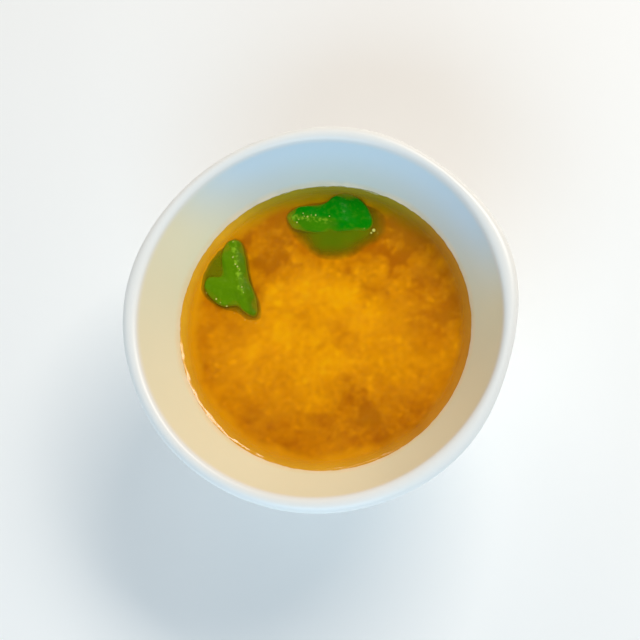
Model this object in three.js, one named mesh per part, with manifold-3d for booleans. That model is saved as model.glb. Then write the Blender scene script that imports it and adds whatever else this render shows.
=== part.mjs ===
// A small bowl of miso soup: a white glazed bowl, the soup in it and two floating green leaves.
// Millimetres, +Z up. The origin is on the table, under the middle of the bowl's foot.
import * as THREE from "three";
import { mergeVertices } from "three/addons/utils/BufferGeometryUtils.js";
import Module from "manifold-3d";

const wasm = await Module();
wasm.setup();

// Driving dimensions of the bowl
const RIM_RADIUS = 60; // the widest point of the lip
const BOWL_HEIGHT = 54;
const LIP_THICKNESS = 4.8;
const LIP_LEAN = THREE.MathUtils.degToRad(29); // how far the wall leans out from upright at the lip
const WALL_THICKNESS = 3.9;
const BASE_THICKNESS = 5.2; // of the wall, where it meets the foot
const FLOOR_HEIGHT = 6.6; // the inside of the bowl at its middle
const FLOOR_REACH = 32; // how far the flat middle of the floor pulls the curve outwards
const FOOT_RADIUS = 27;
const FOOT_WALL = 3.4;
const FOOT_RECESS = 3;
const FOOT_FILLET = 0.7;
const FOOT_BLEND = 2.4; // the hollow round between the foot and the wall

// Driving dimensions of the soup
const SOUP_BELOW_LIP = 17;
const WATERLINE_RADIUS = 45.4;
const WATERLINE_LEAN = THREE.MathUtils.degToRad(36);
const MENISCUS_RISE = 0.9;
const MENISCUS_REACH = 1.3; // how far from the wall the meniscus falls to a third
const FIT_GAP = 0.3; // between the soup and what it touches

// Driving dimensions of the leaves
const LEAF_THICKNESS = 0.8;
const LEAF_EDGE_DIP = 0.3; // how far the edge of a leaf lies under the soup

// Fineness of the round shapes
const TURNS = 96;
const WALL_STEPS = 13;
const LIP_STEPS = 7;
const FILLET_STEPS = 2;
const BLEND_STEPS = 3;
const MENISCUS_STEPS = 4;
const LEAF_SPOKES = 44;
const LEAF_RINGS = 4;

// The lip is made by hand: its outer edge swings in and out by these waves round the bowl,
// each with its count, its height and the direction of its first crest in degrees.
const LIP_WAVES = [
  { count: 3, height: 0.26, crest: 51 },
  { count: 4, height: 0.22, crest: 11.5 },
  { count: 5, height: 0.35, crest: 17 },
  { count: 6, height: 0.19, crest: 15 },
  { count: 7, height: 0.14, crest: 15 },
];

const MATERIALS = {
  glaze: new THREE.MeshStandardMaterial({ color: 0xeceae4, roughness: 0.3, metalness: 0 }),
  broth: new THREE.MeshStandardMaterial({ color: 0xdf9508, roughness: 0.12, metalness: 0 }),
  leafBack: new THREE.MeshStandardMaterial({ color: 0x117f0d, roughness: 0.35, metalness: 0 }),
  leafLeft: new THREE.MeshStandardMaterial({ color: 0x578708, roughness: 0.35, metalness: 0 }),
};

const SOUP_LEVEL = BOWL_HEIGHT - SOUP_BELOW_LIP;
const LIP_CENTRE = new THREE.Vector2(RIM_RADIUS - LIP_THICKNESS / 2, BOWL_HEIGHT - LIP_THICKNESS / 2);
const INNER_EDGE = new THREE.Vector2(
  LIP_CENTRE.x - (Math.cos(LIP_LEAN) * LIP_THICKNESS) / 2,
  LIP_CENTRE.y + (Math.sin(LIP_LEAN) * LIP_THICKNESS) / 2,
);

const smooth = (x) => THREE.MathUtils.smoothstep(x, 0, 1);

// A curve of the profile between two points, each with how far it leans out from upright there
// and how far that lean is held.
function bend(from, to) {
  const handle = ({ point, lean, reach }, sign) =>
    point.clone().add(new THREE.Vector2(Math.sin(lean), Math.cos(lean)).multiplyScalar(sign * reach));
  return new THREE.CubicBezierCurve(from.point, handle(from, 1), handle(to, -1), to.point);
}

// The inside of the bowl, from the middle of its floor up to the lip: a round bottom that opens
// into a leaning wall.
const FLOOR = { point: new THREE.Vector2(0, FLOOR_HEIGHT), lean: Math.PI / 2, reach: FLOOR_REACH };
const WATERLINE = { point: new THREE.Vector2(WATERLINE_RADIUS, SOUP_LEVEL), lean: WATERLINE_LEAN };
const INNER_WALL = new THREE.CurvePath();
INNER_WALL.add(bend(FLOOR, { ...WATERLINE, reach: 17 }));
INNER_WALL.add(bend({ ...WATERLINE, reach: 6 }, { point: INNER_EDGE, lean: LIP_LEAN, reach: 6 }));

// Points on the inside of the wall at even steps of its length, each with the direction into the wall.
function wallPoints(steps) {
  return Array.from({ length: steps + 1 }, (_, i) => {
    const share = i / steps;
    const tangent = INNER_WALL.getTangentAt(share);
    return {
      share,
      point: INNER_WALL.getPointAt(share),
      outward: new THREE.Vector2(tangent.y, -tangent.x),
    };
  });
}

function wallThickness(share) {
  const low = THREE.MathUtils.lerp(BASE_THICKNESS, WALL_THICKNESS, smooth(share / 0.6));
  return THREE.MathUtils.lerp(low, LIP_THICKNESS, smooth((share - 0.85) / 0.15));
}

// A round stretch between two directions, in degrees, round a centre of the profile.
function arc(centre, radius, from, to, steps) {
  return Array.from({ length: steps + 1 }, (_, i) => {
    const angle = THREE.MathUtils.degToRad(THREE.MathUtils.lerp(from, to, i / steps));
    return new THREE.Vector2(centre.x + radius * Math.cos(angle), centre.y + radius * Math.sin(angle));
  });
}

// A closed solid of revolution about Z, from a profile of (radius, height) points.
function turned(profile) {
  return new THREE.LatheGeometry(profile, TURNS).rotateX(Math.PI / 2);
}

function lipSwing(angle) {
  return LIP_WAVES.reduce(
    (sum, { count, height, crest }) =>
      sum + height * Math.cos(count * (angle - THREE.MathUtils.degToRad(crest))),
    0,
  );
}

// The foot: a round hollow under the wall, a ring with rounded edges and a shallow recess inside it.
function footProfile(above, wallEnd) {
  const slope = (above.y - wallEnd.y) / (above.x - wallEnd.x);
  const corner = new THREE.Vector2(FOOT_RADIUS, wallEnd.y - slope * (wallEnd.x - FOOT_RADIUS));
  const blendEnd = new THREE.Vector2(FOOT_RADIUS, corner.y - FOOT_BLEND);
  const blend = new THREE.QuadraticBezierCurve(wallEnd, corner, blendEnd);
  const innerRadius = FOOT_RADIUS - FOOT_WALL;
  const outerFillet = new THREE.Vector2(FOOT_RADIUS - FOOT_FILLET, FOOT_FILLET);
  const innerFillet = new THREE.Vector2(innerRadius + FOOT_FILLET, FOOT_FILLET);
  return [
    ...blend.getPoints(BLEND_STEPS).slice(1),
    ...arc(outerFillet, FOOT_FILLET, 0, -90, FILLET_STEPS),
    ...arc(innerFillet, FOOT_FILLET, -90, -180, FILLET_STEPS),
    new THREE.Vector2(innerRadius - FOOT_FILLET, FOOT_RECESS),
    new THREE.Vector2(0, FOOT_RECESS),
  ];
}

function bowlProfile() {
  const wall = wallPoints(WALL_STEPS);
  const inside = wall.map(({ point }) => point);
  const lean = THREE.MathUtils.radToDeg(LIP_LEAN);
  const lip = arc(LIP_CENTRE, LIP_THICKNESS / 2, 180 - lean, -lean, LIP_STEPS).slice(1, -1);
  const outside = wall
    .map(({ share, point, outward }) => point.clone().addScaledVector(outward, wallThickness(share)))
    .filter(({ x }) => x > FOOT_RADIUS + FOOT_BLEND)
    .reverse();
  return [...inside, ...lip, ...outside, ...footProfile(outside.at(-2), outside.at(-1))].reverse();
}

function makeBowl() {
  const geometry = turned(bowlProfile());
  const position = geometry.attributes.position;
  for (let i = 0; i < position.count; i++) {
    const x = position.getX(i);
    const y = position.getY(i);
    const radius = Math.hypot(x, y);
    const outerShare = smooth((radius - INNER_EDGE.x) / (RIM_RADIUS - INNER_EDGE.x));
    const grown = 1 + (outerShare * lipSwing(Math.atan2(y, x))) / Math.max(radius, 1);
    position.setXY(i, x * grown, y * grown);
  }
  return geometry;
}

// The soup fills the bowl to its level and climbs the wall a little in a meniscus.
function makeSoup() {
  const top = SOUP_LEVEL + MENISCUS_RISE;
  const wetted = wallPoints(WALL_STEPS)
    .map(({ point, outward }) => point.clone().addScaledVector(outward, -FIT_GAP))
    .filter(({ y }) => y < top - 1);
  const climb = top - wetted.at(-1).y;
  const edge = new THREE.Vector2(wetted.at(-1).x + climb * Math.tan(WATERLINE_LEAN), top);
  const meniscus = Array.from({ length: MENISCUS_STEPS }, (_, i) => {
    const inward = MENISCUS_REACH * 0.5 * 1.6 ** i;
    const rise = MENISCUS_RISE * Math.exp(-inward / MENISCUS_REACH);
    return new THREE.Vector2(edge.x - inward, SOUP_LEVEL + rise);
  });
  const flat = new THREE.Vector2(meniscus.at(-1).x - MENISCUS_REACH, SOUP_LEVEL);
  const middle = new THREE.Vector2(0, SOUP_LEVEL);
  return turned([...wetted, edge, ...meniscus, flat, middle]);
}

// The two leaves: where the middle lies, the outline round it, how high its crown stands above
// the soup, and the wave that runs across it.
const LEAVES = {
  leaf_back: {
    material: MATERIALS.leafBack,
    middle: [3.8, 35.9],
    outline: [
      [-15.3, 1], [-12.4, 3.2], [-7.5, 3.7], [-2.9, 4.5], [-0.3, 6.4], [3, 7.6], [6.5, 6.1],
      [9.4, 3.2], [11, 0], [11.6, -2.7], [9.9, -5], [4.8, -4.8], [-1.6, -5.1], [-8.8, -4.4],
      [-13.6, -2.8],
    ],
    crown: 1.1,
    wave: { height: 0.3, length: 9, direction: 20, phase: 0.9 },
  },
  leaf_left: {
    material: MATERIALS.leafLeft,
    middle: [-29.8, 14.4],
    outline: [
      [-2.9, 11.6], [-1, 14.2], [2, 14.1], [3.4, 11.3], [4.4, 5.1], [5.8, -0.3], [8.2, -7.6],
      [7.6, -10.3], [5, -9.2], [1.7, -6.7], [-2.8, -6.6], [-7.2, -3.1], [-8.5, -0.3], [-7.3, 2.3],
      [-3.4, 2.8],
    ],
    crown: 1.1,
    wave: { height: 0.3, length: 8, direction: 75, phase: 2.2 },
  },
};

// The height of a leaf's mid surface over the soup, at a place on it and at a share of the way
// from its middle to its edge: a low crown whose edge dips, with waves that grow towards the edge.
function leafHeight({ crown, wave }, x, y, share) {
  const turn = THREE.MathUtils.degToRad(wave.direction);
  const along = x * Math.cos(turn) + y * Math.sin(turn);
  const ripple = Math.sin((2 * Math.PI * along) / wave.length + wave.phase);
  return crown * (1 - share ** 2) - LEAF_EDGE_DIP * share + wave.height * (0.4 + 0.6 * share) * ripple;
}

// A leaf as a closed sheet of even thickness. Both faces have the same triangles: rings of
// spokes round its middle. The faces may stand off the sheet, and the outline may be grown.
function leafSheet(leaf, above, below, grown) {
  const curve = new THREE.CatmullRomCurve3(
    leaf.outline.map(([x, y]) => new THREE.Vector3(x, y, 0)),
    true,
    "centripetal",
  );
  const place = (ring, spoke) => {
    const share = ring / LEAF_RINGS;
    const edge = curve.getPoint(spoke / LEAF_SPOKES);
    const tangent = curve.getTangent(spoke / LEAF_SPOKES);
    edge.x -= tangent.y * grown;
    edge.y += tangent.x * grown;
    return [edge.x * share, edge.y * share, share];
  };
  const positions = [];
  const faces = [];
  const addPoint = ([x, y, share], offset) => {
    const height = SOUP_LEVEL + leafHeight(leaf, x, y, share) + offset;
    positions.push(leaf.middle[0] + x, leaf.middle[1] + y, height);
  };
  for (const offset of [above, -below]) {
    addPoint([0, 0, 0], offset);
    for (let ring = 1; ring <= LEAF_RINGS; ring++)
      for (let spoke = 0; spoke < LEAF_SPOKES; spoke++) addPoint(place(ring, spoke), offset);
  }
  const sideCount = 1 + LEAF_RINGS * LEAF_SPOKES;
  const id = (ring, spoke) => (ring ? 1 + (ring - 1) * LEAF_SPOKES + (spoke % LEAF_SPOKES) : 0);
  const addBoth = (a, b, c) => faces.push(a, b, c, sideCount + a, sideCount + c, sideCount + b);
  for (let spoke = 0; spoke < LEAF_SPOKES; spoke++) {
    addBoth(id(0, 0), id(1, spoke + 1), id(1, spoke));
    for (let ring = 1; ring < LEAF_RINGS; ring++) {
      addBoth(id(ring, spoke), id(ring, spoke + 1), id(ring + 1, spoke));
      addBoth(id(ring, spoke + 1), id(ring + 1, spoke + 1), id(ring + 1, spoke));
    }
    const near = id(LEAF_RINGS, spoke);
    const next = id(LEAF_RINGS, spoke + 1);
    faces.push(near, next, sideCount + near, next, sideCount + next, sideCount + near);
  }
  const geometry = new THREE.BufferGeometry();
  geometry.setAttribute("position", new THREE.Float32BufferAttribute(positions, 3));
  geometry.setIndex(faces);
  return geometry;
}

function toSolid(geometry) {
  const bare = geometry.clone();
  bare.deleteAttribute("normal");
  bare.deleteAttribute("uv");
  const merged = mergeVertices(bare, 1e-4);
  return new wasm.Manifold(
    new wasm.Mesh({
      numProp: 3,
      vertProperties: merged.attributes.position.array,
      triVerts: new Uint32Array(merged.index.array),
    }),
  );
}

function toGeometry(solid) {
  const mesh = solid.getMesh();
  const geometry = new THREE.BufferGeometry();
  geometry.setAttribute("position", new THREE.BufferAttribute(mesh.vertProperties, 3));
  geometry.setIndex(new THREE.BufferAttribute(mesh.triVerts, 1));
  geometry.computeVertexNormals();
  return geometry;
}

function named(name, geometry, material) {
  const mesh = new THREE.Mesh(geometry, material);
  mesh.name = name;
  return mesh;
}

const misoSoup = new THREE.Group();
misoSoup.add(named("bowl", makeBowl(), MATERIALS.glaze));

// The soup is cut round the leaves, so that each lies in a pocket of its own shape.
const POCKET_HEADROOM = 6;
let soup = toSolid(makeSoup());
for (const [name, leaf] of Object.entries(LEAVES)) {
  const half = LEAF_THICKNESS / 2;
  misoSoup.add(named(name, toGeometry(toSolid(leafSheet(leaf, half, half, 0))), leaf.material));
  soup = soup.subtract(toSolid(leafSheet(leaf, POCKET_HEADROOM, half + FIT_GAP, FIT_GAP)));
}
misoSoup.add(named("soup", toGeometry(soup), MATERIALS.broth));

export default misoSoup;
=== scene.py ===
"""A bowl of miso soup: a white glazed bowl, cloudy amber miso under clearer broth, two green leaves."""

import math

import bpy
from mathutils import Matrix, Vector, noise


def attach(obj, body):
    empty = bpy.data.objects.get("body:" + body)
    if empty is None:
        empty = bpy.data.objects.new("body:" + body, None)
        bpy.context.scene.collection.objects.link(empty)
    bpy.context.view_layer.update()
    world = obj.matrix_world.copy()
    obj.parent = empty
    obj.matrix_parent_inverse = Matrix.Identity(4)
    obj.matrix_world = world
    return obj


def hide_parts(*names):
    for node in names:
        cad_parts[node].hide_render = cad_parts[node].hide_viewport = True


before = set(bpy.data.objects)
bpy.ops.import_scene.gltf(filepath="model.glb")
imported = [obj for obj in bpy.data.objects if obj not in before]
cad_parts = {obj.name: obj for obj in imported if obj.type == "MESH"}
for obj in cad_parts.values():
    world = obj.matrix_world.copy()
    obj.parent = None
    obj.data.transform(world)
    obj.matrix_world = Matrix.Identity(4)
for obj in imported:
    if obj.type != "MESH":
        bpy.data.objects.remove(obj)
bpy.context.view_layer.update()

MM = 0.001

# The bowl, as it was thrown
RIM_RADIUS = 60 * MM
BOWL_HEIGHT = 54 * MM
LIP_THICKNESS = 4.8 * MM
LIP_LEAN = math.radians(29)
WALL_THICKNESS = 3.9 * MM
BASE_THICKNESS = 5.2 * MM
FLOOR_HEIGHT = 6.6 * MM
FLOOR_REACH = 32 * MM
FOOT_RADIUS = 27 * MM
FOOT_WALL = 3.4 * MM
FOOT_FILLET = 0.7 * MM
FOOT_BLEND = 2.4 * MM
FOOT_RECESS = 3 * MM

# The bend from inside the foot to the recess: at what share of the way up it starts, and its reach
RECESS_BEND_START = 0.7
RECESS_BEND = 0.6 * MM

# Shares of the way from the floor's middle to the lip, at which the wall has thinned and the lip begins
BASE_END = 0.6
LIP_START = 0.85

# How far the curve of the inner wall follows its lean, under the waterline and over it
LOW_WALL_PULL = 17 * MM
HIGH_WALL_PULL = 6 * MM

# Waves round the lip: how many, how high, and where the first one crests in degrees
LIP_WAVES = (
    (3, 0.26 * MM, 51), (4, 0.22 * MM, 11.5), (5, 0.35 * MM, 17), (6, 0.19 * MM, 15), (7, 0.14 * MM, 15),
)

# The clearer broth, which climbs the wall in a meniscus and reaches a little into the wall
SOUP_LEVEL = BOWL_HEIGHT - 17 * MM
WATERLINE_RADIUS = 45.4 * MM
WATERLINE_LEAN = math.radians(36)
INTO_WALL = 0.5 * MM
MENISCUS_RISE = 0.9 * MM
MENISCUS_REACH = 1.3 * MM
MENISCUS_BAND = 14 * MM
CONTACT_RIPPLE = 0.16 * MM
RIPPLE_SIZE = 2.5 * MM
RIPPLE_REACH = 3 * MM
BROTH_DEPTH = 3 * MM

# The cloud of miso, which lies under the broth and rises towards the wall
CLOUD_DEPTH = 1.5 * MM
CLOUD_EDGE_DEPTH = 0.35 * MM
CLOUD_TOP_REACH = 39.5 * MM
CLOUD_INTO_WALL = 0.4 * MM
CLOUD_RELIEF = 0.3 * MM
CLOUD_LUMP = 7 * MM
CLOUD_RELIEF_FADE = 4 * MM

# Points on the bowl's section, as (radius, height)
LIP_CENTRE = Vector((RIM_RADIUS - LIP_THICKNESS / 2, BOWL_HEIGHT - LIP_THICKNESS / 2))
INNER_EDGE = LIP_CENTRE + LIP_THICKNESS / 2 * Vector((-math.cos(LIP_LEAN), math.sin(LIP_LEAN)))
WATERLINE = Vector((WATERLINE_RADIUS, SOUP_LEVEL))

# Where the cloud is brightest, in mm, and how that falls off outwards, as shares of its radius
CLOUD_MIDDLE = (0.5, 1)
MIDDLE_FALL = (0.88, 0.2)

# Patches where the cloud is darker or lighter than round about: x, y and reach in mm, and how much
DARK_PATCHES = (
    (-7, 1, 5, 0.20), (5, -6, 7, 0.18), (7, -29, 10, 0.26), (34, 13, 9, 0.16), (41, 5, 8, 0.14),
    (-17, 29, 12, 0.20), (-15, 17, 8, 0.22), (-9, 29, 7, 0.14), (-15, 37, 11, 0.28), (14, 24, 13, 0.36),
    (24, 30, 10, 0.28), (12, 31, 13, 0.16),
)
LIGHT_PATCHES = (
    (1, 9, 11, 0.18), (-24, -11, 11, 0.20), (-30, -21, 12, 0.26), (-36, -5, 8, 0.14), (-5, -15, 11, 0.16),
    (17, 3, 10, 0.12), (27, -14, 14, 0.28), (39, -6, 7, 0.16), (-14, 7, 8, 0.12),
)

# How broken a patch's edge is, and how it falls off, as shares of its reach
PATCH_BREAK = 1.6
PATCH_FALL = (1.05, 0.25)

# Places round the leaves where the broth is clearer: x, y, how far it is clearest and its reach, in mm
CLEAR_PLACES = ((5, 33, 9, 19), (-31, 17, 7, 15))

# How light the miso is, and how much each pattern in it takes part
MISO_LIGHT = 0.25
MIDDLE_LIFT = 0.5
SWIRL_SHARE = 1.2
LUMP_SHARE = 1.1
GRAIN_SHARE = 0.6
SPECK_LIFT = 0.2

# How much the broth hides of what is under it, and how much less round the leaves
BROTH_HIDES = 0.14
HAZE_HIDES = 0.08
WISPS_HIDE = 0.05
RIM_HIDES = 0.62
LEAVES_CLEAR = 0.7

# From where to where a colour comes in across the bowl, and how slanting its edge lies
# The far wall, where a cool blue light is painted into the glaze
FAR_SIDE = (14 * MM, 44 * MM)
FAR_SIDE_SLANT = 0.3
# The far edge of the soup, where an olive shade is painted
FAR_EDGE = (26 * MM, 45 * MM)
FAR_EDGE_SLANT = 0.1
# The left and near edge of the soup, where golden light is painted
LIT_NEAR_EDGE = (22 * MM, -14 * MM)
LIT_NEAR_SLANT = 0.4

# From where to where a colour comes in with the distance from the bowl's axis
INSIDE_WALL = (WATERLINE_RADIUS + 3.4 * MM, WATERLINE_RADIUS + 2.2 * MM)
WITHIN_LIP = (INNER_EDGE.x + 0.5 * MM, INNER_EDGE.x - 0.7 * MM)
MISO_EDGE = (CLOUD_TOP_REACH, CLOUD_TOP_REACH + 4 * MM)
BROTH_EDGE = (WATERLINE_RADIUS - 5 * MM, WATERLINE_RADIUS - 0.5 * MM)
BROTH_RIM = (WATERLINE_RADIUS - 3.6 * MM, WATERLINE_RADIUS - 0.2 * MM)

# From where to where a colour comes in with height over the table
BARE_FOOT = (1.2 * MM, 0.5 * MM)
OVER_BASE = (FOOT_RECESS + 1.08 * MM, FLOOR_HEIGHT - 1.08 * MM)
# Heights over which the painted blue light on the far wall grows bluer
BLUE_LIGHT_RISE = (SOUP_LEVEL + 1 * MM, BOWL_HEIGHT - 3 * MM)

# The same with height over the soup's level
FILM_TOP = (2.6 * MM, 0.2 * MM)
# Heights where a painted highlight line on the wet wall begins
HIGHLIGHT_BAND = (0.8 * MM, 1.2 * MM)
WET_TOP = (0.75 * MM, 0.45 * MM)
DEEP_WALL = (0.0, -4 * MM)

# The same with depth under the soup's level, on the leaves
LEAF_DROWNS = (0.1 * MM, 0.7 * MM)
LEAF_SHOWS = (1.0 * MM, 0.35 * MM)
LEAF_OVER_SOUP = (0.15 * MM, -0.15 * MM)
SUNK_TURNS = (0.4 * MM, 1.1 * MM)
SUNK_SHOWS = (1.65 * MM, 0.4 * MM)

# How far a pattern moves an edge: of the film, the miso and its swirls, and what lies under the broth
FILM_UNEVEN = 1.2 * MM
MISO_EDGE_UNEVEN = 6 * MM
MISO_WARP = 18 * MM
DEPTH_UNEVEN = 0.6 * MM

# The far leaf's fold: how slanting and where it lies, how wide it glints, and where it ends to the right
BACK_SLANT = 0.16
BACK_FOLD = 34.5 * MM
BACK_FOLD_WIDTH = (1.5 * MM, 0.2 * MM)
BACK_FOLD_END = (4 * MM, 0.0)

# Where the far leaf darkens: over its fold, and in its lobe from side to side and outwards
BACK_DARK = (34.6 * MM, 36.4 * MM)
LOBE_ACROSS = (2.5 * MM, 6 * MM)
LOBE_OUTWARDS = (30.4 * MM, 32 * MM)

# The left leaf's fold: how slanting and where it lies, how wide it glints, and where it starts
LEFT_SLANT = 0.18
LEFT_FOLD = -24.3 * MM
LEFT_FOLD_WIDTH = (1.6 * MM, 0.2 * MM)
LEFT_FOLD_START = (9 * MM, 14 * MM)

# Where the left leaf darkens, to its right
LEFT_DARK_SLANT = 0.22
LEFT_DARK = (-23.6 * MM, -21.6 * MM)

# How strongly each tint shows
PINHOLE_TINT = 0.08
# The painted cool blue light on the far wall
BLUE_LIGHT_TINT = 0.85
FILM_TINT = 0.45
# The painted highlight line on the wet wall
HIGHLIGHT_TINT = 0.5
# The painted golden light at the soup's left and near edge
LIT_GOLDEN_TINT = 0.85
EDGE_TINT = 0.8
# The painted olive shade at the soup's far edge
FAR_SHADE_TINT = 0.9

# The floating leaves, in mm and degrees, with their outlines and ridges measured from their middles
LEAVES = {
    "leaf_back": dict(
        middle=(3.8, 35.9),
        outline=(
            (-15.3, 1), (-12.4, 3.2), (-7.5, 3.7), (-2.9, 4.5), (-0.3, 6.4), (3, 7.6), (6.5, 6.1),
            (9.4, 3.2), (11, 0), (11.6, -2.7), (9.9, -5), (4.8, -4.8), (-1.6, -5.1), (-8.8, -4.4),
            (-13.6, -2.8),
        ),
        ridge=((-13, 0.2), (3, -2.4)),
        wave_length=9, wave_direction=20, wave_phase=0.9,
    ),
    "leaf_left": dict(
        middle=(-29.8, 14.4),
        outline=(
            (-2.9, 11.6), (-1, 14.2), (2, 14.1), (3.4, 11.3), (4.4, 5.1), (5.8, -0.3), (8.2, -7.6),
            (7.6, -10.3), (5, -9.2), (1.7, -6.7), (-2.8, -6.6), (-7.2, -3.1), (-8.5, -0.3), (-7.3, 2.3),
            (-3.4, 2.8),
        ),
        ridge=((0.4, 14.1), (3.6, -4)),
        wave_length=8, wave_direction=75, wave_phase=2.2,
    ),
}

# The form of a leaf, in mm over the soup: crowned in its middle, wavy, and crinkled, with a raised ridge
LEAF_CROWN = 0.605
LEAF_EDGE_DIP = 0.3
LEAF_WAVE = 0.3
WAVE_AT_MIDDLE = 0.4
CRINKLE_HEIGHT = 0.12
CRINKLE_SIZE = 2.2
CRINKLE_LAYER = 3.0
RIDGE_HEIGHT = 0.35
RIDGE_WIDTH = 1.1

# How far a leaf goes on past the outline that shows, how deep that dips, and its share of the rings
LEAF_MARGIN = 0.9
MARGIN_SINKS = 1.1
MARGIN_SHARE = 0.25

# The sunk parts of the leaves, in mm: they hang under the surface, shallow in the middle, deep outside
SUNK = {
    "leaf_back_sunk": dict(
        middle=(4.6, 33.0),
        outline=(
            (-16.9, 1.9), (-16.2, 6), (-13, 8), (-5.8, 8.6), (-0.6, 10.2), (3.3, 10.6), (8.5, 8.6),
            (13, 5.9), (15.2, 1.7), (15.4, -2.4), (13.2, -5.6), (9, -7.8), (4.5, -10.6), (-0.7, -11.6),
            (-6.5, -10.4), (-11, -7), (-14.3, -3.3),
        ),
        shallow=0.35, deep=1.5,
    ),
    "leaf_left_sunk": dict(
        middle=(-31.5, 16.5),
        outline=(
            (-6.6, 11.2), (-3.4, 13.6), (0.6, 14.2), (3.8, 13.2), (6, 10), (7.2, 5), (8.2, -1), (11, -9),
            (11, -13.4), (7.2, -13.8), (3.2, -11.2), (-0.6, -10), (-6, -6.8), (-8.8, -2.6), (-9.6, 2.4),
            (-8.6, 7.6),
        ),
        shallow=0.55, deep=1.3,
    ),
}
SUNK_FALL = 2.2
SAG_HEIGHT = 0.25
SAG_SIZE = 4.5
SAG_LAYER = 9.0

# The sheet that each leaf is shaped from, and how round its edge is, as a share of its radius
LEAF_THICKNESS = 0.6 * MM
SUNK_THICKNESS = 0.3 * MM
EDGE_ROUND = 0.05
EDGE_TURNS = [math.radians(degrees) for degrees in (60, 30, 0, -30, -60)]

# The bubbles: x, y and radius in mm
BUBBLES = (
    (-34.6, 9.6, 0.30), (-33.2, 8.4, 0.16), (-31.1, 7.1, 0.28), (-29.4, 28.5, 0.2), (-29.3, 23.1, 0.26),
    (-28.4, 20.7, 0.24), (-27.7, 19.9, 0.3), (-27.1, 18.8, 0.18), (-26.1, 13.0, 0.24),
    (-25.6, 11.2, 0.14), (-8.6, 34.3, 0.28), (-8.0, 35.2, 0.18), (-6.5, 37.1, 0.22), (-6.1, 36.0, 0.16),
    (-5.0, 35.7, 0.28), (-3.8, 36.3, 0.15), (-2.4, 36.2, 0.24), (2.1, 35.6, 0.2), (16.2, 30.4, 0.55),
    (15.4, 29.6, 0.32), (13.2, 31.2, 0.16), (17.4, 29.4, 0.14), (-25.1, 2.4, 0.16), (-23.4, 1.9, 0.1),
    (-21.6, 1.2, 0.14), (-19.6, 0.5, 0.1), (-28.6, 4.6, 0.12), (-37.9, 11.8, 0.12),
)

# A bubble's height, and how far its middle stands over what it sits on, as shares of its radius
BUBBLE_HEIGHT = 0.75
BUBBLE_LIFT = 0.25

# How finely the shapes are divided
TURNS = 256
WALL_STEPS = 22
LIP_STEPS = 20
HOLLOW_STEPS = 8
FOOT_STEPS = 5
CLOUD_RINGS = 109
BAND_RINGS = 60
FLAT_RINGS = 12
LEAF_RINGS, LEAF_SPOKES = 56, 220
SUNK_RINGS, SUNK_SPOKES = 24, 120
BAND_CLOSENESS = 2.2
CLOUD_LAST_RING = 0.8 * MM
FLAT_LAST_RING = 0.5 * MM
OUTLINE_NEIGHBOUR = 0.004
SAME_PLACE = 0.001 * MM

# The table, and the lamps over it: direction in degrees from +X, rise in degrees, size in m, power in W
TABLE_SIZE = 4
LAMP_DISTANCE = 1.2
LAMPS = {
    "key_light": dict(around=54, above=43, size=(0.8, 0.32), power=9.1, colour=(1.0, 0.93, 0.84)),
    "back_light": dict(around=108, above=34, size=(0.3, 0.16), power=0.6, colour=(1.0, 0.96, 0.90)),
    "front_light": dict(around=260, above=30, size=(0.9, 0.9), power=9.4, colour=(0.52, 0.78, 1.0)),
}
STUDIO_COLOUR = (1.0, 0.98, 0.95, 1.0)
STUDIO_STRENGTH = 0.34

# The view: where it looks from, how far away, what the picture's side spans at the lip, and its middle
VIEW_AROUND = math.radians(27.2)
VIEW_ABOVE = math.radians(73.3)
VIEW_DISTANCE = 0.34
VIEW_SPAN = 0.1925
VIEW_TARGET = Vector((0.9 * MM, -2.4 * MM, BOWL_HEIGHT - LIP_THICKNESS / 2))


# Shapes

def mix(a, b, share):
    return a + (b - a) * share


def smooth(x):
    """0 up to 0, 1 from 1 on, and an even rise between."""
    x = min(max(x, 0.0), 1.0)
    return x * x * (3 - 2 * x)


def rough(place, size, layers):
    """Uneven heights from about -1 to 1, whose lumps are about size across, with ever finer layers."""
    return noise.fractal(place / size, 1.0, 2.0, layers)


def bezier(a, b, c, d, steps):
    """Points along a curve from a to d, with handles b and c."""
    points = []
    for i in range(steps + 1):
        t = i / steps
        weights = ((1 - t) ** 3, 3 * t * (1 - t) ** 2, 3 * t * t * (1 - t), t ** 3)
        points.append(sum((w * p for w, p in zip(weights, (a, b, c, d))), Vector((0, 0))))
    return points


def arc(centre, radius, start, end, steps):
    """Points along a round stretch between two directions in degrees."""
    angles = [math.radians(mix(start, end, i / steps)) for i in range(steps + 1)]
    return [centre + radius * Vector((math.cos(a), math.sin(a))) for a in angles]


def leaning(lean, length):
    """A stretch up the wall, leaning out from the upright."""
    return length * Vector((math.sin(lean), math.cos(lean)))


def inner_wall():
    """The inside of the bowl from the middle of its floor to the lip, as (radius, height) points."""
    floor = Vector((0, FLOOR_HEIGHT))
    floor_handle = floor + Vector((FLOOR_REACH, 0))
    under = WATERLINE - leaning(WATERLINE_LEAN, LOW_WALL_PULL)
    over = WATERLINE + leaning(WATERLINE_LEAN, HIGH_WALL_PULL)
    under_lip = INNER_EDGE - leaning(LIP_LEAN, HIGH_WALL_PULL)
    low = bezier(floor, floor_handle, under, WATERLINE, WALL_STEPS)
    high = bezier(WATERLINE, over, under_lip, INNER_EDGE, WALL_STEPS)
    return low + high[1:]


def offset(points, distance):
    """Points moved to the right of their line, by a distance or by a function of the share of the way."""
    lengths = [0.0]
    for a, b in zip(points, points[1:]):
        lengths.append(lengths[-1] + (b - a).length)
    moved = []
    for i, point in enumerate(points):
        along = points[min(i + 1, len(points) - 1)] - points[max(i - 1, 0)]
        side = Vector((along.y, -along.x)).normalized()
        by = distance(lengths[i] / lengths[-1]) if callable(distance) else distance
        moved.append(point + side * by)
    return moved


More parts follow.
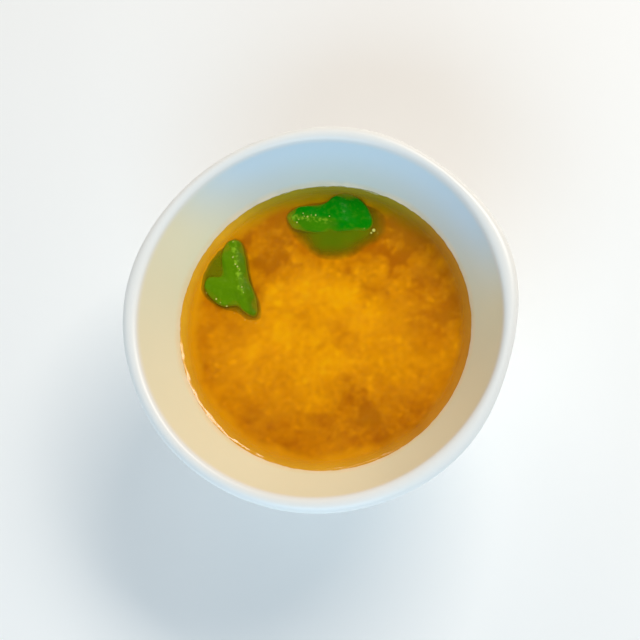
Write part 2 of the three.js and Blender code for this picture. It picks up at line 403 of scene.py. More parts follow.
def wall_thickness(share):
    """The wall's thickness at a share of the way from the floor's middle to the lip."""
    low = mix(BASE_THICKNESS, WALL_THICKNESS, smooth(share / BASE_END))
    return mix(low, LIP_THICKNESS, smooth((share - LIP_START) / (1 - LIP_START)))


def deselect():
    if bpy.context.mode != "OBJECT":
        bpy.ops.object.mode_set(mode="OBJECT")
    bpy.ops.object.select_all(action="DESELECT")


def turned(name, profile, turns=TURNS):
    """A closed shape of revolution: a point is drawn out along the profile, and spun round the axis."""
    deselect()
    bpy.ops.mesh.primitive_plane_add(size=MM, location=(profile[0].x, 0, profile[0].y))
    piece = bpy.context.object
    piece.name = piece.data.name = name
    bpy.ops.object.transform_apply(location=True, rotation=True, scale=True)
    bpy.ops.object.mode_set(mode="EDIT")
    bpy.ops.mesh.select_all(action="SELECT")
    bpy.ops.mesh.merge(type="CENTER")
    for here, there in zip(profile, profile[1:]):
        step = there - here
        bpy.ops.mesh.extrude_vertices_move(TRANSFORM_OT_translate={"value": (step.x, 0, step.y)})
    bpy.ops.mesh.select_all(action="SELECT")
    bpy.ops.mesh.spin(steps=turns, angle=2 * math.pi, center=(0, 0, 0), axis=(0, 0, 1))
    bpy.ops.mesh.select_all(action="SELECT")
    bpy.ops.mesh.remove_doubles(threshold=SAME_PLACE)
    bpy.ops.mesh.normals_make_consistent(inside=False)
    bpy.ops.object.mode_set(mode="OBJECT")
    bpy.ops.object.shade_smooth()
    return piece


def closed_outline(points, share):
    """A place on the smooth closed line through the points, at a share of the way round."""
    count = len(points)
    whole = share * count
    first = int(math.floor(whole)) % count
    t = whole - math.floor(whole)
    p0, p1, p2, p3 = (Vector(points[(first + i) % count]) for i in (-1, 0, 1, 2))
    step0, step1, step2 = (math.sqrt((b - a).length) for a, b in ((p0, p1), (p1, p2), (p2, p3)))
    m1 = ((p1 - p0) / step0 - (p2 - p0) / (step0 + step1) + (p2 - p1) / step1) * step1
    m2 = ((p2 - p1) / step1 - (p3 - p1) / (step1 + step2) + (p3 - p2) / step2) * step1
    t2, t3 = t * t, t * t * t
    return (
        (2 * t3 - 3 * t2 + 1) * p1
        + (t3 - 2 * t2 + t) * m1
        + (3 * t2 - 2 * t3) * p2
        + (t3 - t2) * m2
    )


def away_from(line, x, y):
    """How far a place lies from a stretch between two points."""
    start, end = Vector(line[0]), Vector(line[1])
    along = end - start
    share = min(max((Vector((x, y)) - start).dot(along) / along.length_squared, 0.0), 1.0)
    return (Vector((x, y)) - start - along * share).length


# Finishes

def tone(red, green, blue):
    """A colour seen as 0 to 255 values, as the shader's linear one."""
    def channel(value):
        value /= 255
        return value / 12.92 if value <= 0.04045 else ((value + 0.055) / 1.055) ** 2.4
    return (channel(red), channel(green), channel(blue), 1.0)


# Colours of the bowl, in pairs where a pattern goes from one to the other
WHITE = (tone(238, 237, 232), tone(243, 243, 240))
PINHOLE = tone(205, 198, 184)
# The inner glaze's cream, partly painted warm light thrown up from the soup
CREAM_AND_WARM_LIGHT = (tone(235, 229, 196), tone(242, 237, 206))
# A painted cool blue light on the far wall: greyer low down, bluer towards the lip
PAINTED_BLUE_LIGHT = (tone(206, 217, 216), tone(203, 233, 254))
CLAY = (tone(206, 186, 156), tone(226, 210, 184))
BROTH_FILM = tone(240, 204, 138)
# A painted highlight line on the wet wall over the waterline
WET_LINE_HIGHLIGHT = tone(252, 234, 208)
WALL_IN_BROTH = (tone(236, 176, 30), tone(206, 132, 0))
# The wall under the broth at the far edge, in painted olive shade
WALL_IN_FAR_SHADE = tone(172, 164, 10)

# Colours of the soup, from the darkest miso to the lightest, and of the broth over it and at its edge
MISO_STOPS = (
    (0.0, tone(176, 96, 0)),
    (0.25, tone(203, 121, 0)),
    (0.55, tone(229, 149, 0)),
    (0.8, tone(249, 171, 0)),
    (1.0, tone(255, 186, 0)),
)
# The miso's edge in painted golden light, on the left and near side
MISO_LIT_GOLDEN = tone(236, 166, 4)
# The miso at the far edge, in painted olive shade
MISO_IN_FAR_SHADE = tone(160, 142, 0)
BROTH = (tone(222, 136, 0), tone(250, 172, 0))
# The broth's edge: thin and paler, painted darker at the right and lit golden on the left and near side
EDGE_BROTH_SHADED_TO_LIT = (tone(206, 134, 0), tone(236, 176, 14))
# The broth at the far edge, in painted olive shade
BROTH_IN_FAR_SHADE = tone(160, 150, 0)
BUBBLE = (tone(216, 212, 84), tone(248, 240, 150))

# Colours of the leaves: young and old green, and the painted highlight that glints on them
BACK_GREENS = (tone(64, 130, 0), tone(0, 128, 0))
BACK_GLINT = tone(128, 172, 34)
LEFT_GREENS = (tone(92, 136, 0), tone(84, 120, 0))
LEFT_GLINT = tone(140, 180, 34)
LEAF_IN_BROTH = tone(118, 122, 0)
SUNK_GREEN = (tone(78, 116, 0), tone(122, 108, 0))
SUNK_OLIVE = (tone(106, 124, 0), tone(134, 124, 0))

TABLE = (tone(249, 248, 246), tone(252, 251, 249))


class Socket:
    """A number from a material's nodes. An expression on it adds Math nodes."""

    def __init__(self, finish, link):
        self.finish = finish
        self.link = link

    def _math(self, operation, *values):
        return self.finish.node("ShaderNodeMath", {"operation": operation}, dict(enumerate(values)))

    def __add__(self, other):
        return self._math("ADD", self, other)

    def __radd__(self, other):
        return self._math("ADD", other, self)

    def __sub__(self, other):
        return self._math("SUBTRACT", self, other)

    def __rsub__(self, other):
        return self._math("SUBTRACT", other, self)

    def __mul__(self, other):
        return self._math("MULTIPLY", self, other)

    def __rmul__(self, other):
        return self._math("MULTIPLY", other, self)

    def __truediv__(self, other):
        return self._math("DIVIDE", self, other)

    def __abs__(self):
        return self._math("ABSOLUTE", self)

    def sqrt(self):
        return self._math("SQRT", self)

    def clamped(self):
        return self.finish.node("ShaderNodeClamp", {}, {"Value": self})

    def step(self, low, high):
        """0 below low, 1 above high and smooth between. With low above high it falls instead."""
        return self.finish.node(
            "ShaderNodeMapRange",
            {"interpolation_type": "SMOOTHSTEP"},
            {"Value": self, "From Min": low, "From Max": high, "To Min": 0.0, "To Max": 1.0},
        )


class Finish:
    """A material with one Principled shader, and the nodes that drive it."""

    def __init__(self, name, **constants):
        self.material = bpy.data.materials.new(name)
        self.material.use_nodes = True
        self.tree = self.material.node_tree
        self.tree.nodes.clear()
        self.shader = self.tree.nodes.new("ShaderNodeBsdfPrincipled")
        output = self.tree.nodes.new("ShaderNodeOutputMaterial")
        self.tree.links.new(self.shader.outputs[0], output.inputs["Surface"])
        for socket, value in constants.items():
            self.shader.inputs[socket.replace("_", " ")].default_value = value
        self.place = self.node("ShaderNodeTexCoord", {}, {}, "Object")
        axes = [self.node("ShaderNodeSeparateXYZ", {}, {0: self.place}, axis) for axis in "XYZ"]
        self.x, self.y, self.z = axes
        self.radius = (self.x * self.x + self.y * self.y).sqrt()

    def node(self, kind, settings, sockets, output=0):
        """Any node: its type, its settings, then the values or links of its sockets."""
        made = self.tree.nodes.new(kind)
        for key, value in settings.items():
            if key == "stops":
                self._set_stops(made.color_ramp, value)
            else:
                setattr(made, key, value)
        for key, value in sockets.items():
            if isinstance(value, Socket):
                self.tree.links.new(value.link, made.inputs[key])
            else:
                made.inputs[key].default_value = value
        return Socket(self, made.outputs[output])

    @staticmethod
    def _set_stops(ramp, stops):
        while len(ramp.elements) < len(stops):
            ramp.elements.new(0.5)
        for element, (position, colour) in zip(ramp.elements, stops):
            element.position = position
            element.color = colour

    def noise(self, size, detail=3.0, roughness=0.55, distortion=0.0):
        """A smooth random pattern from 0 to 1, whose lumps are about size across."""
        sockets = {"Vector": self.place, "Scale": 0.5 / size, "Detail": detail}
        sockets.update({"Roughness": roughness, "Distortion": distortion})
        return self.node("ShaderNodeTexNoise", {}, sockets, "Fac")

    def away(self, x, y, sway=0.0):
        """The distance from an upright line at a place in mm, swayed by a pattern."""
        across = self.x - x * MM + sway
        along = self.y - y * MM - sway
        return (across * across + along * along).sqrt()

    def blend(self, share, first, second):
        """A colour between two."""
        return self.node("ShaderNodeMix", {"data_type": "RGBA"}, {0: share, 6: first, 7: second}, 2)

    def ramp(self, value, stops):
        """A colour from a number, through the colours at the stops."""
        return self.node("ShaderNodeValToRGB", {"stops": stops}, {0: value}, "Color")

    def drive(self, socket, value):
        self.tree.links.new(value.link, self.shader.inputs[socket])

    def bump(self, height, strength, distance):
        sockets = {"Height": height, "Strength": strength, "Distance": distance}
        self.drive("Normal", self.node("ShaderNodeBump", {}, sockets, "Normal"))


def far_side(finish):
    """1 on the far wall, where a cool blue light is painted into the glaze, and 0 from the bowl's middle
    on.
    """
    return (finish.y + finish.x * FAR_SIDE_SLANT).step(*FAR_SIDE)


def far_shade_edge(finish):
    """1 at the far edge of the soup, where an olive shade is painted, and 0 elsewhere."""
    return (finish.y + finish.x * FAR_EDGE_SLANT).step(*FAR_EDGE)


def lit_near_edge(finish):
    """1 at the left and near edge of the soup, which the light crosses and where golden light is painted,
    and 0 at the right.
    """
    return (finish.x + finish.y * LIT_NEAR_SLANT).step(*LIT_NEAR_EDGE)


def inside_bowl(finish):
    """1 on the inside of the bowl, and 0 on its lip, its outside and its underside."""
    at_waterline = finish.radius - (finish.z - SOUP_LEVEL) * math.tan(WATERLINE_LEAN)
    inside = at_waterline.step(*INSIDE_WALL) * finish.radius.step(*WITHIN_LIP)
    return inside * finish.z.step(*OVER_BASE)


def white_glaze(finish):
    """White, with faint darker pinholes."""
    white = finish.blend(finish.noise(22 * MM, detail=2.0), *WHITE)
    pinholes = finish.noise(1.6 * MM, detail=2.0).step(0.72, 0.82)
    return finish.blend(pinholes * PINHOLE_TINT, white, PINHOLE)


def inner_glaze_and_light(finish):
    """The glaze inside the bowl: creamier than on the lip, partly painted warm light from the soup, and
    painted cool blue light on the far wall.
    """
    # Cream glaze, partly painted warm light from the soup
    cream_and_warm_light = finish.blend(finish.noise(16 * MM, detail=2.0), *CREAM_AND_WARM_LIGHT)
    # Painted cool blue light on the far wall, bluer higher up
    blue_light = finish.blend(finish.z.step(*BLUE_LIGHT_RISE), *PAINTED_BLUE_LIGHT)
    return finish.blend(far_side(finish) * BLUE_LIGHT_TINT, cream_and_warm_light, blue_light)


def broth_film_and_highlight(finish, inside, colour):
    """Broth clings to the wall over the waterline, and a pale line a little higher is a painted
    highlight, broken in places.
    """
    over = finish.z - SOUP_LEVEL
    uneven = finish.noise(5 * MM, detail=2.0) * FILM_UNEVEN
    film = inside * (over - uneven).step(*FILM_TOP)
    colour = finish.blend(film * FILM_TINT, colour, BROTH_FILM)
    # A painted highlight, broken up by a pattern
    painted_highlight = over.step(*HIGHLIGHT_BAND) * finish.noise(3 * MM).step(0.4, 0.62)
    return finish.blend(film * painted_highlight * HIGHLIGHT_TINT, colour, WET_LINE_HIGHLIGHT)


def wall_in_broth(finish, inside, colour):
    """The wall shows through the broth: golden at the waterline, browner with depth."""
    over = finish.z - SOUP_LEVEL
    through = finish.blend(over.step(*DEEP_WALL), *WALL_IN_BROTH)
    # Painted olive shade on the wall at the soup's far edge
    through = finish.blend(far_shade_edge(finish) * FAR_SHADE_TINT, through, WALL_IN_FAR_SHADE)
    return finish.blend(inside * over.step(*WET_TOP), colour, through)


def bowl_finish():
    finish = Finish("white_glaze", Coat_Roughness=0.28)
    inside = inside_bowl(finish)
    colour = finish.blend(inside, white_glaze(finish), inner_glaze_and_light(finish))
    colour = broth_film_and_highlight(finish, inside, colour)
    colour = wall_in_broth(finish, inside, colour)
    # The foot's edge is bare clay, where the glaze was wiped off
    bare = finish.z.step(*BARE_FOOT)
    grit = finish.noise(0.5 * MM)
    finish.drive("Base Color", finish.blend(bare, colour, finish.blend(grit, *CLAY)))
    finish.drive("Roughness", 0.34 + finish.noise(9 * MM) * 0.10 + bare * 0.4)
    finish.drive("Coat Weight", (1 - bare) * 0.3)
    swells = finish.noise(14 * MM, detail=2.0) * 0.8
    dimples = finish.noise(2.4 * MM, detail=2.0) * 0.1
    finish.bump(swells + dimples + grit * bare * 0.2, strength=0.35, distance=0.5 * MM)
    return finish.material


def patch(finish, x, y, reach, warp, lump):
    """1 near a place on the soup and 0 past its reach, with a broken edge."""
    away = finish.away(x, y, warp * 0.5) / (reach * MM)
    return (away + (lump - 0.5) * PATCH_BREAK).step(*PATCH_FALL)


def miso_colour(finish):
    """The amber of the miso: bright in the middle, browner outwards, mottled as the paste hangs in it."""
    swirl = finish.noise(11 * MM, detail=5.0, roughness=0.64, distortion=0.2)
    lump = finish.noise(3.8 * MM, detail=5.0, roughness=0.62, distortion=0.4)
    grain = finish.noise(1.1 * MM, roughness=0.6)
    specks = finish.noise(1.6 * MM, detail=1.0).step(0.6, 0.72)
    warp = (finish.noise(8 * MM, detail=4.0, roughness=0.65) - 0.5) * MISO_WARP
    middle = (finish.away(*CLOUD_MIDDLE, warp) / WATERLINE_RADIUS).step(*MIDDLE_FALL)
    light = MISO_LIGHT + middle * MIDDLE_LIFT + specks * SPECK_LIFT
    light = light + (swirl - 0.5) * SWIRL_SHARE + (lump - 0.5) * LUMP_SHARE + (grain - 0.5) * GRAIN_SHARE
    for x, y, reach, depth in DARK_PATCHES:
        light = light - patch(finish, x, y, reach, warp, lump) * depth
    for x, y, reach, lift in LIGHT_PATCHES:
        light = light + patch(finish, x, y, reach, warp, lump) * lift
    return finish.ramp(light.clamped(), MISO_STOPS)


def cloud_finish():
    finish = Finish("miso_cloud", Roughness=0.8, IOR=1.05)
    uneven = (finish.noise(6 * MM) - 0.5) * MISO_EDGE_UNEVEN
    edge = (finish.radius + uneven).step(*MISO_EDGE)
    # Painted golden light on the miso's left and near edge
    lit_golden = edge * lit_near_edge(finish) * LIT_GOLDEN_TINT
    # Painted olive shade at the miso's far edge
    far_shade = edge * far_shade_edge(finish) * FAR_SHADE_TINT
    colour = finish.blend(lit_golden, miso_colour(finish), MISO_LIT_GOLDEN)
    finish.drive("Base Color", finish.blend(far_shade, colour, MISO_IN_FAR_SHADE))
    return finish.material


def broth_finish():
    finish = Finish("miso_broth", Roughness=0.14, IOR=1.33, Coat_Weight=0.8, Coat_Roughness=0.09)
    haze = finish.noise(7 * MM, detail=4.0, roughness=0.6, distortion=0.5).step(0.30, 0.72)
    wisps = finish.noise(2.2 * MM, roughness=0.6).step(0.45, 0.75)
    edge = finish.radius.step(*BROTH_EDGE)
    # Painted olive shade at the broth's far edge
    far_shade = edge * far_shade_edge(finish) * FAR_SHADE_TINT
    # The thin broth at the edge, painted darker at the right and lit golden at the left and near side
    edge_shaded_to_lit = finish.blend(lit_near_edge(finish), *EDGE_BROTH_SHADED_TO_LIT)
    tint = finish.blend(edge * EDGE_TINT, finish.blend(haze, *BROTH), edge_shaded_to_lit)
    finish.drive("Base Color", finish.blend(far_shade, tint, BROTH_IN_FAR_SHADE))
    # The broth hides most at its rim, little over the miso and least round the leaves
    rim = finish.radius.step(*BROTH_RIM)
    places = [finish.away(x, y).step(reach * MM, full * MM) for x, y, full, reach in CLEAR_PLACES]
    clear = sum(places).clamped()
    hides = BROTH_HIDES + haze * HAZE_HIDES + wisps * WISPS_HIDE
    finish.drive("Alpha", hides * (1 - clear * LEAVES_CLEAR) + rim * RIM_HIDES)
    swells = finish.noise(9 * MM, detail=1.0)
    dimples = finish.noise(1.6 * MM, detail=2.0) * rim * 0.4
    finish.bump(swells + dimples, strength=0.12, distance=0.3 * MM)
    return finish.material


def uneven_depth(finish, mottle):
    """How deep a place is under the soup's level, give or take a little."""
    return SOUP_LEVEL - finish.z + (mottle - 0.5) * DEPTH_UNEVEN


def leaf_finish(name, greens, glint, shade, fold):
    """Wet leaf: green over the soup, and lost in it with its depth."""
    finish = Finish(name, IOR=1.12, Coat_Roughness=0.1)
    mottle = finish.noise(4 * MM, detail=4.0, roughness=0.6, distortion=0.4)
    fine = finish.noise(0.7 * MM, roughness=0.65)
    green = finish.blend((shade(finish) + (mottle - 0.5) * 0.8).clamped(), *greens)
    # Painted highlights: specks of the glint colour, thickest along the fold
    lit = (fold(finish) + 0.10) * fine.step(0.46, 0.68)
    green = finish.blend(lit.clamped(), green, glint)
    depth = uneven_depth(finish, mottle)
    finish.drive("Base Color", finish.blend(depth.step(*LEAF_DROWNS), green, LEAF_IN_BROTH))
    finish.drive("Alpha", depth.step(*LEAF_SHOWS))
    over = depth.step(*LEAF_OVER_SOUP)
    finish.drive("Roughness", 0.6 - over * 0.15 - over * fine.step(0.5, 0.7) * 0.2)
    finish.drive("Coat Weight", over * fine.step(0.45, 0.7) * 0.06)
    finish.bump(fine * 0.7 + mottle, strength=0.5, distance=0.3 * MM)
    return finish.material


def sunk_finish(name, tones, strength):
    """What hangs under the surface: olive, and lost in the miso with its depth."""
    finish = Finish(name, Roughness=0.8, IOR=1.1)
    depth = uneven_depth(finish, finish.noise(5 * MM, detail=4.0, roughness=0.65, distortion=0.4))
    finish.drive("Base Color", finish.blend(depth.step(*SUNK_TURNS), *tones))
    finish.drive("Alpha", depth.step(*SUNK_SHOWS) * strength)
    return finish.material


def back_shade(finish):
    """The far leaf is darker over its fold and in its lobe."""
    over_fold = (finish.y + finish.x * BACK_SLANT).step(*BACK_DARK)
    lobe = finish.x.step(*LOBE_ACROSS) * finish.y.step(*LOBE_OUTWARDS)
    return (over_fold + lobe).clamped()


def back_fold(finish):
    """Where the far leaf's fold catches the light, for a painted highlight."""
    off = abs(finish.y + finish.x * BACK_SLANT - BACK_FOLD)
    return off.step(*BACK_FOLD_WIDTH) * finish.x.step(*BACK_FOLD_END)


def left_shade(finish):
    """The left leaf is darker along its right edge and its tip."""
    return (finish.x + finish.y * LEFT_DARK_SLANT).step(*LEFT_DARK)


def left_fold(finish):
    """Where the left leaf's fold catches the light, for a painted highlight."""
    off = abs(finish.x + finish.y * LEFT_SLANT - LEFT_FOLD)
    return off.step(*LEFT_FOLD_WIDTH) * finish.y.step(*LEFT_FOLD_START)


def bubble_finish():
    finish = Finish("bubble", Roughness=0.04, IOR=1.33)
    shine = finish.noise(0.3 * MM, detail=1.0)
    finish.drive("Base Color", finish.blend(shine, *BUBBLE))
    finish.drive("Alpha", 0.6 + shine * 0.3)
    return finish.material


def floor_finish():
    finish = Finish("pale_table", Roughness=0.7)
    finish.drive("Base Color", finish.blend(finish.noise(60 * MM, detail=2.0), *TABLE))
    return finish.material


# The bowl

def lip_swing(angle):
    """How far the uneven lip stands out in a direction."""
    swing = 0.0
    for count, height, crest in LIP_WAVES:
        swing += height * math.cos(count * (angle - math.radians(crest)))
    return swing


def foot_profile():
    """The foot ring from its outside to the recess under the bowl."""
    inner_foot = FOOT_RADIUS - FOOT_WALL
    outer_centre = Vector((FOOT_RADIUS - FOOT_FILLET, FOOT_FILLET))
    inner_centre = Vector((inner_foot + FOOT_FILLET, FOOT_FILLET))
    foot = arc(outer_centre, FOOT_FILLET, 0, -90, FOOT_STEPS)
    foot += arc(inner_centre, FOOT_FILLET, -90, -180, FOOT_STEPS)
    corner = Vector((inner_foot - FOOT_FILLET, FOOT_RECESS))
    foot.append(mix(foot[-1], corner, RECESS_BEND_START))
    foot.append(corner - Vector((RECESS_BEND, 0)))
    return foot + [Vector((0, FOOT_RECESS))]


def bowl_profile():
    """The bowl's section, from the middle of its floor over the lip to the middle of its underside."""
    inside = inner_wall()
    lean = math.degrees(LIP_LEAN)
    lip = arc(LIP_CENTRE, LIP_THICKNESS / 2, 180 - lean, -lean, LIP_STEPS)[1:-1]
    outside = [p for p in reversed(offset(inside, wall_thickness)) if p.x > FOOT_RADIUS + FOOT_BLEND]
    above, wall_end = outside[-2], outside[-1]
    slope = (above.y - wall_end.y) / (above.x - wall_end.x)
    corner = Vector((FOOT_RADIUS, wall_end.y - slope * (wall_end.x - FOOT_RADIUS)))
    foot_top = Vector((FOOT_RADIUS, corner.y - FOOT_BLEND))
    handles = mix(wall_end, corner, 2 / 3), mix(foot_top, corner, 2 / 3)
    hollow = bezier(wall_end, *handles, foot_top, HOLLOW_STEPS)[1:]
    return inside + lip + outside + hollow + foot_profile()


def make_bowl():
    bowl = turned("bowl_glazed", bowl_profile())
    for vertex in bowl.data.vertices:
        x, y, _ = vertex.co
        radius = math.hypot(x, y)
        share = smooth((radius - INNER_EDGE.x) / (RIM_RADIUS - INNER_EDGE.x))
        if share:
            grown = 1 + share * lip_swing(math.atan2(y, x)) / radius
            vertex.co.x, vertex.co.y = x * grown, y * grown
    bowl.data.materials.append(bowl_finish())
    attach(bowl, "root")
    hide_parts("bowl")


# The soup

def wetted_wall(top, into):
    """The part of the inner wall up to a height, set a little into the wall."""
    wall = offset(inner_wall(), into)
    below = [p for p in wall if p.y < top]
    low, high = below[-1], wall[len(below)]
    below[0].x = 0
    return below + [mix(low, high, (top - low.y) / (high.y - low.y))]


def cloud_surface(edge):
    """The top of the cloud from its edge to its middle: it sinks under the broth, and is flat there."""
    surface = []
    for i in range(1, CLOUD_RINGS + 1):
        radius = mix(edge, CLOUD_LAST_RING, i / CLOUD_RINGS)
        rise = smooth((radius - CLOUD_TOP_REACH) / (edge - CLOUD_TOP_REACH))
        surface.append(Vector((radius, SOUP_LEVEL - mix(CLOUD_DEPTH, CLOUD_EDGE_DEPTH, rise))))
    return surface + [Vector((0, SOUP_LEVEL - CLOUD_DEPTH))]


def make_cloud():
    wall = wetted_wall(SOUP_LEVEL - CLOUD_EDGE_DEPTH, CLOUD_INTO_WALL)
    edge = wall[-1].x
    cloud = turned("miso_cloud", wall + cloud_surface(edge))
    for vertex in cloud.data.vertices:
        radius = math.hypot(vertex.co.x, vertex.co.y)
        if vertex.co.z > SOUP_LEVEL - CLOUD_DEPTH - SAME_PLACE:
            relief = CLOUD_RELIEF * rough(vertex.co, CLOUD_LUMP, 4)
            vertex.co.z += relief * smooth((edge - radius) / CLOUD_RELIEF_FADE)
    cloud.data.materials.append(cloud_finish())
    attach(cloud, "root")
    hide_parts("soup")


def broth_surface(contact):
    """The top of the broth from the wall to its middle: the meniscus, with close rings, then the flat."""
    surface = []
    for i in range(BAND_RINGS):
        inward = MENISCUS_BAND * (i / (BAND_RINGS - 1)) ** BAND_CLOSENESS
        rise = MENISCUS_RISE * math.exp(-inward / MENISCUS_REACH)
        surface.append(Vector((contact - inward, SOUP_LEVEL + rise)))
    band_end = surface[-1].x
    for i in range(FLAT_RINGS):
        surface.append(Vector((mix(band_end, FLAT_LAST_RING, (i + 1) / FLAT_RINGS), SOUP_LEVEL)))
    return surface + [Vector((0, SOUP_LEVEL))]


def make_broth():
    bottom = SOUP_LEVEL - BROTH_DEPTH
    wall = [p for p in wetted_wall(SOUP_LEVEL + MENISCUS_RISE, INTO_WALL) if p.y > bottom]
    under = [Vector((0, bottom)), Vector((wall[0].x / 2, bottom)), Vector((wall[0].x, bottom))]
    contact = wall[-1].x - INTO_WALL / math.cos(WATERLINE_LEAN)
    broth = turned("miso_surface", under + wall + broth_surface(contact))
    for vertex in broth.data.vertices:
        radius = math.hypot(vertex.co.x, vertex.co.y)
        if vertex.co.z > SOUP_LEVEL - SAME_PLACE:
            ripple = CONTACT_RIPPLE * rough(vertex.co, RIPPLE_SIZE, 3)
            vertex.co.z += ripple * smooth((radius - contact) / RIPPLE_REACH + 1)
    broth.data.materials.append(broth_finish())
    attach(broth, "root")
    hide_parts("soup")


# The leaves and what hangs and floats round them

def sheet_section(rings):
    """Half the section of a round sheet: out along its top, round its edge and back underneath."""
    upper = [Vector((i * MM / rings, MM)) for i in range(rings)]
    edge = []
    for turn in EDGE_TURNS:
        inset = 0.5 * EDGE_ROUND * (1 - math.cos(turn))
        edge.append(Vector((MM * (1 - inset), MM * math.sin(turn))))
    lower = [Vector((p.x, -MM)) for p in reversed(upper)]
    return upper + edge + lower


def shape_leaf(name, rings, spokes, leaf, thickness, height, margin=0.0):
    """A leaf from a round sheet: its rings are drawn out to the outline and past it over the margin."""
    inner = 1 - MARGIN_SHARE if margin else 1.0
    outline = leaf["outline"]
    middle_x, middle_y = leaf["middle"]
    piece = turned(name, sheet_section(rings), spokes)
    for vertex in piece.data.vertices:
        x, y, side = vertex.co / MM
        radius = math.hypot(x, y)
        turn = (math.atan2(y, x) / (2 * math.pi)) % 1.0
        edge = closed_outline(outline, turn)
        before = closed_outline(outline, turn - OUTLINE_NEIGHBOUR)
        along = closed_outline(outline, turn + OUTLINE_NEIGHBOUR) - before
        outward = Vector((-along.y, along.x)).normalized()
        share = min(radius / inner, 1.0)
        past = max(radius - inner, 0.0) / MARGIN_SHARE
        place = edge * share + outward * past * margin
        lift = height(place.x, place.y, share, past) * MM + side * thickness / 2
        vertex.co = ((middle_x + place.x) * MM, (middle_y + place.y) * MM, SOUP_LEVEL + lift)
    return piece


def make_leaf(name, finish):
    """A leaf that floats: crowned, wavy and crinkled, with a raised ridge."""
    leaf = LEAVES[name]
    turn = math.radians(leaf["wave_direction"])

    def height(x, y, share, past):
        along = x * math.cos(turn) + y * math.sin(turn)
        ripple = math.sin(2 * math.pi * along / leaf["wave_length"] + leaf["wave_phase"])
        wave = LEAF_WAVE * mix(WAVE_AT_MIDDLE, 1, share) * ripple
        crown = LEAF_CROWN * (1 - share ** 2) - LEAF_EDGE_DIP * share
        crinkle = CRINKLE_HEIGHT * rough(Vector((x, y, CRINKLE_LAYER)), CRINKLE_SIZE, 4)
        fold = RIDGE_HEIGHT * math.exp(-(away_from(leaf["ridge"], x, y) / RIDGE_WIDTH) ** 2)
        return crown + wave * (1 - past) + crinkle + fold - MARGIN_SINKS * past

    piece = shape_leaf(name + "_wet", LEAF_RINGS, LEAF_SPOKES, leaf, LEAF_THICKNESS, height, LEAF_MARGIN)
    piece.data.materials.append(finish)
    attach(piece, "root")
    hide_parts(name)
    return piece


def make_sunk(name, finish):
    """The part of a leaf that hangs under the surface."""
    part = SUNK[name]

    def height(x, y, share, _):
        sag = SAG_HEIGHT * rough(Vector((x, y, SAG_LAYER)), SAG_SIZE, 3)
        return sag * (1 - share) - mix(part["shallow"], part["deep"], share ** SUNK_FALL)

    piece = shape_leaf(name, SUNK_RINGS, SUNK_SPOKES, part, SUNK_THICKNESS, height)
    piece.data.materials.append(finish)
    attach(piece, "root")


def level_at(x, y, leaves):
    """The height of the soup or of the leaf that floats there."""
    start, down = Vector((x, y, BOWL_HEIGHT)), Vector((0, 0, -1))
    hits = [leaf.ray_cast(start, down) for leaf in leaves]
    return max([SOUP_LEVEL] + [place.z for hit, place, _, _ in hits if hit])


def make_bubbles(leaves, finish):
    """Tiny bubbles on the leaves and at their edges, as one mesh."""
    bpy.context.view_layer.update()
    deselect()
    bpy.ops.mesh.primitive_ico_sphere_add(subdivisions=2, radius=MM)
    bpy.ops.transform.resize(value=(1, 1, BUBBLE_HEIGHT))
    bpy.ops.object.transform_apply(location=True, rotation=True, scale=True)
    bpy.ops.object.shade_smooth()
    first = bpy.context.object
    bubbles = [first]
    for _ in BUBBLES[1:]:
        bubble = first.copy()
        bubble.data = first.data.copy()
        bpy.context.collection.objects.link(bubble)
        bubbles.append(bubble)
    for bubble, (x, y, radius) in zip(bubbles, BUBBLES):
        level = level_at(x * MM, y * MM, leaves)
        for vertex in bubble.data.vertices:
            vertex.co = vertex.co * radius + Vector((x * MM, y * MM, level + radius * BUBBLE_LIFT * MM))
        bubble.select_set(True)
    bpy.ops.object.join()
    joined = bpy.context.object
    joined.name = joined.data.name = "bubbles"
    joined.data.materials.clear()
    joined.data.materials.append(finish)
    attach(joined, "root")


# The table, the light and the camera

def make_floor():
    deselect()
    bpy.ops.mesh.primitive_plane_add(size=TABLE_SIZE)
    floor = bpy.context.object
    floor.name = "table"
    floor.data.materials.append(floor_finish())


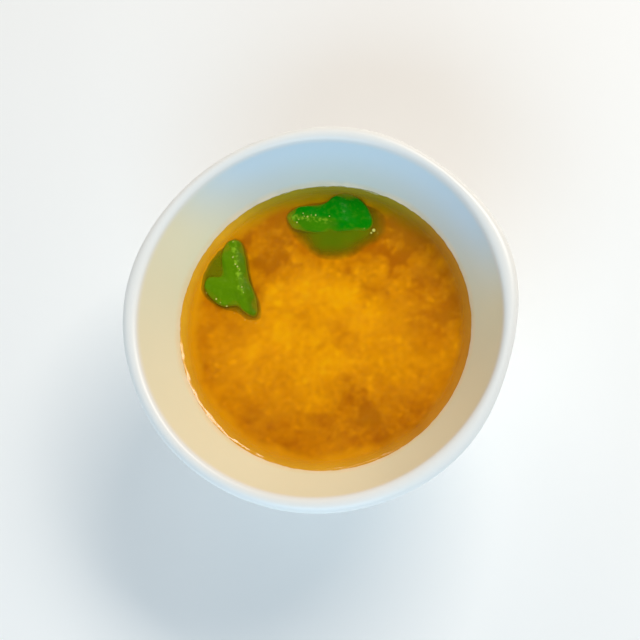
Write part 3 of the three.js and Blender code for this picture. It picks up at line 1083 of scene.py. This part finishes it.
def softbox(name, around, above, size, power, colour):
    """A lamp that faces the bowl, seen from it in a direction counted from +X towards +Y."""
    turn, rise = math.radians(around), math.radians(above)
    flat = math.cos(rise)
    direction = Vector((math.cos(turn) * flat, math.sin(turn) * flat, math.sin(rise)))
    lamp = bpy.data.lights.new(name, "AREA")
    lamp.shape = "RECTANGLE"
    lamp.size, lamp.size_y = size
    lamp.energy = power
    lamp.color = colour
    holder = bpy.data.objects.new(name, lamp)
    bpy.context.collection.objects.link(holder)
    holder.location = direction * LAMP_DISTANCE + Vector((0, 0, SOUP_LEVEL))
    holder.rotation_euler = direction.to_track_quat("Z", "Y").to_euler()


def make_light():
    for name, lamp in LAMPS.items():
        softbox(name, **lamp)
    world = bpy.data.worlds.new("studio")
    world.use_nodes = True
    background = world.node_tree.nodes["Background"]
    background.inputs["Color"].default_value = STUDIO_COLOUR
    background.inputs["Strength"].default_value = STUDIO_STRENGTH
    bpy.context.scene.world = world


def make_camera():
    """The photograph's view: nearly from above, a little from the front right, with the far side up."""
    flat = math.cos(VIEW_ABOVE)
    away = Vector((math.sin(VIEW_AROUND) * flat, -math.cos(VIEW_AROUND) * flat, math.sin(VIEW_ABOVE)))
    camera = bpy.data.cameras.new("camera")
    camera.lens = camera.sensor_width * VIEW_DISTANCE / VIEW_SPAN
    holder = bpy.data.objects.new("camera", camera)
    bpy.context.collection.objects.link(holder)
    holder.location = VIEW_TARGET + away * VIEW_DISTANCE
    across = Vector((0, 1, 0)).cross(away).normalized()
    upward = away.cross(across)
    holder.rotation_euler = Matrix((across, upward, away)).transposed().to_euler()
    bpy.context.scene.camera = holder


make_bowl()
make_cloud()
make_broth()
back_green = leaf_finish("leaf_green", BACK_GREENS, BACK_GLINT, back_shade, back_fold)
left_green = leaf_finish("leaf_yellow_green", LEFT_GREENS, LEFT_GLINT, left_shade, left_fold)
leaves = [make_leaf("leaf_back", back_green), make_leaf("leaf_left", left_green)]
make_sunk("leaf_back_sunk", sunk_finish("sunk_green", SUNK_GREEN, strength=0.95))
make_sunk("leaf_left_sunk", sunk_finish("sunk_olive", SUNK_OLIVE, strength=0.75))
make_bubbles(leaves, bubble_finish())
make_floor()
make_light()
make_camera()
bpy.context.scene.view_settings.view_transform = "Standard"
